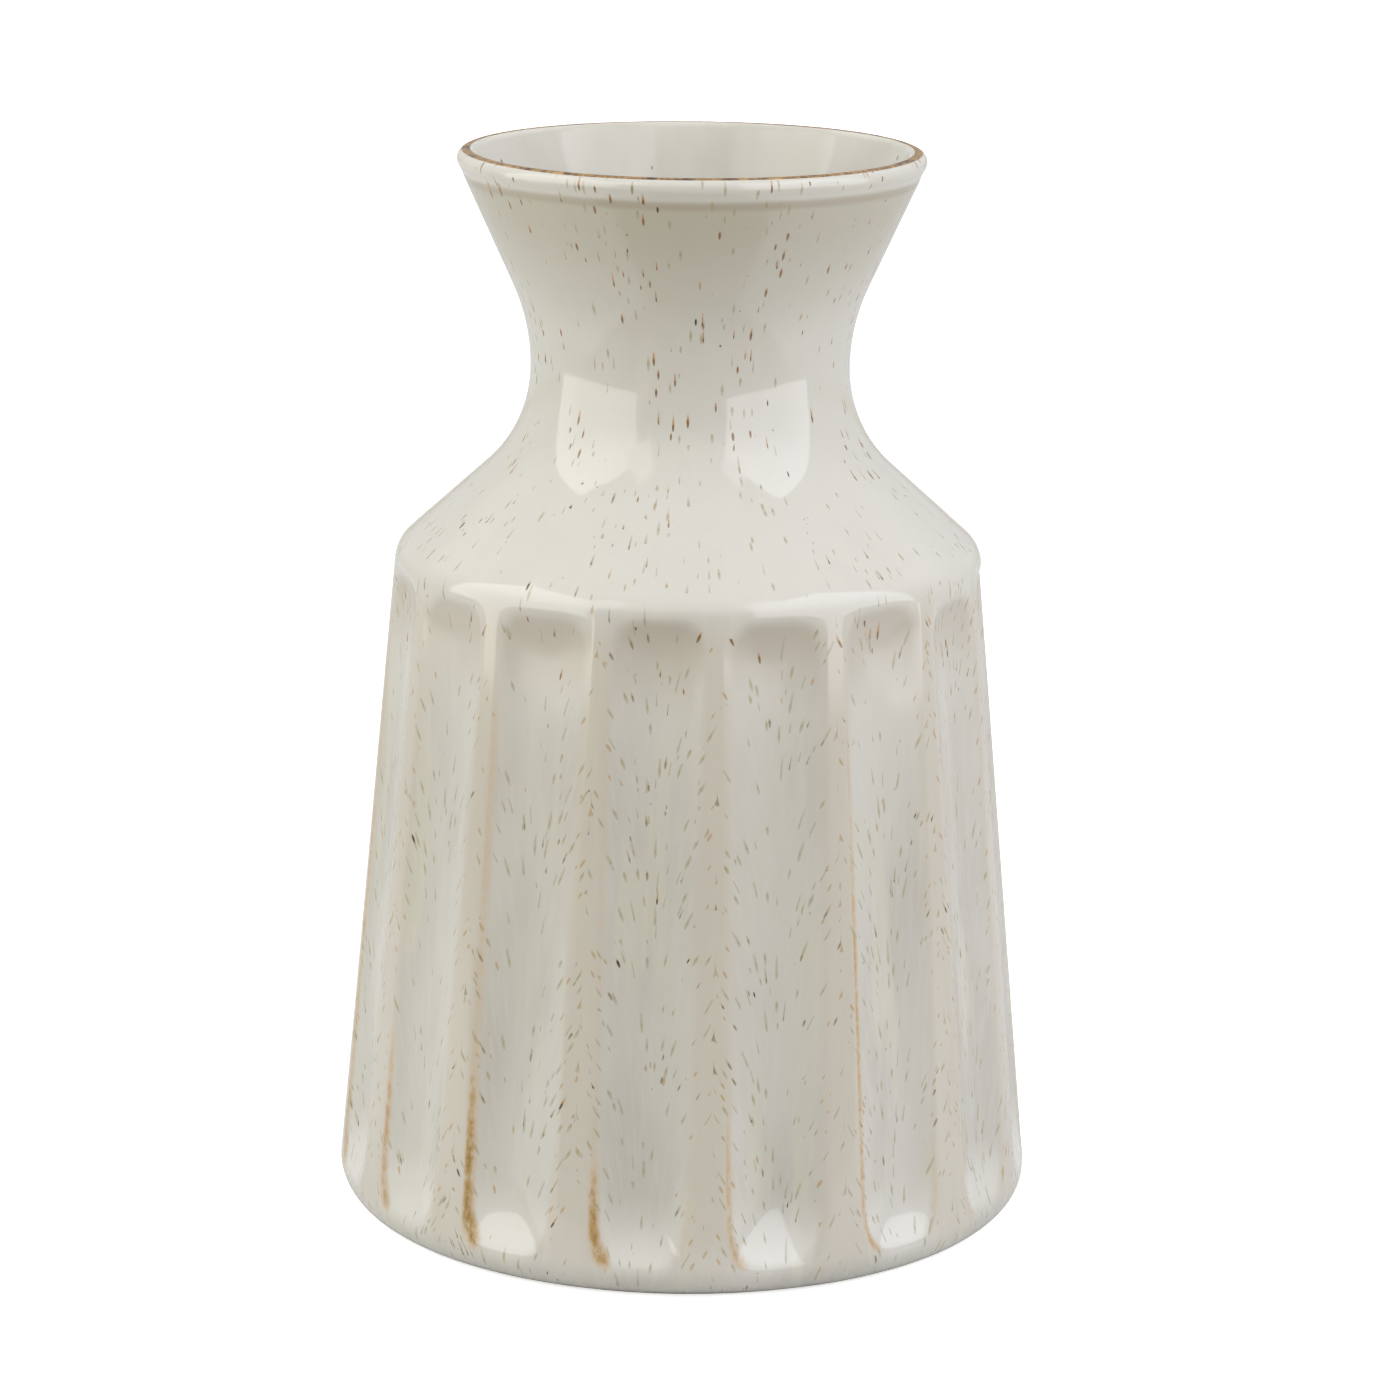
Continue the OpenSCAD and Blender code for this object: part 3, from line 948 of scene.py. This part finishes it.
def room_air():
    """The room round the table, seen only as soft light and reflections."""
    world = bpy.data.worlds.new("studio_air")
    world.use_nodes = True
    tree = world.node_tree
    background = tree.nodes["Background"]
    split = tree.nodes.new("ShaderNodeSeparateXYZ")
    tree.links.new(tree.nodes.new("ShaderNodeTexCoord").outputs["Generated"], split.inputs[0])

    def ramp(source, low, high, to_low, to_high):
        node = tree.nodes.new("ShaderNodeMapRange")
        node.interpolation_type = "SMOOTHSTEP"
        values = {"Value": source, "From Min": low, "From Max": high, "To Min": to_low, "To Max": to_high}
        for socket, value in values.items():
            if isinstance(value, bpy.types.NodeSocket):
                tree.links.new(value, node.inputs[socket])
            else:
                node.inputs[socket].default_value = value
        return node.outputs["Result"]

    height = split.outputs["Z"]
    low = ramp(split.outputs["Y"], -AIR_BEHIND, AIR_BEHIND, AIR_LOW_FRONT, AIR_LOW_BACK)
    above = ramp(height, *AIR_OVERHEAD, low, AIR_HIGH)
    strength = ramp(height, -AIR_HORIZON, AIR_HORIZON, AIR_BELOW, above)
    tree.links.new(strength, background.inputs["Strength"])
    tint = tree.nodes.new("ShaderNodeMix")
    tint.data_type = "RGBA"
    tree.links.new(ramp(height, -AIR_HORIZON, AIR_HORIZON, 0.0, 1.0), tint.inputs["Factor"])
    tint.inputs["A"].default_value = ROOM_FLOOR_TINT
    tint.inputs["B"].default_value = ROOM_TINT
    tree.links.new(tint.outputs["Result"], background.inputs["Color"])
    bpy.context.scene.world = world


def light_studio():
    """Soft panels on both sides, the dimmer ones higher and nearer the camera, and the room's air."""
    for name, side, (y, z), size, radiance, colour in PANELS:
        add_panel(name, (side * PANEL_AWAY, y, z), size, (-side, 0, 0), radiance, colour)
    room_air()
    bpy.context.scene.view_settings.view_transform = "Standard"


# Camera: 0.84 m in front of the axis and a little above the mouth, looking down.
CAMERA_Y = -0.843
CAMERA_Z = 0.3067
CAMERA_PITCH = 13.99
CAMERA_YAW = 0.10
CAMERA_ROLL = 0.62
CAMERA_LENS = 119.12


def make_camera():
    camera = bpy.data.cameras.new("camera")
    camera.lens = CAMERA_LENS
    camera.sensor_width = 36
    camera.clip_start = 0.01
    obj = bpy.data.objects.new("camera", camera)
    turn = (
        Matrix.Rotation(-CAMERA_YAW * DEG, 4, "Z")
        @ Matrix.Rotation((90 - CAMERA_PITCH) * DEG, 4, "X")
        @ Matrix.Rotation(CAMERA_ROLL * DEG, 4, "Z")
    )
    obj.matrix_world = Matrix.Translation((0, CAMERA_Y, CAMERA_Z)) @ turn
    bpy.context.scene.collection.objects.link(obj)
    bpy.context.scene.camera = obj


# ---------------------------------------------------------------- build
make_camera()
make_stage()
light_studio()

for make, material, node, slot in (
    (outer_coat, glaze_material, "outer_glaze", "outer_glaze"),
    (inner_coat, liner_material, "inner_glaze", "inner_glaze"),
    (clay_shell, clay_material, "stoneware_body", "stoneware_clay"),
):
    piece = make()
    piece.data.materials.append(material())
    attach(piece, "root")
    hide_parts(node)
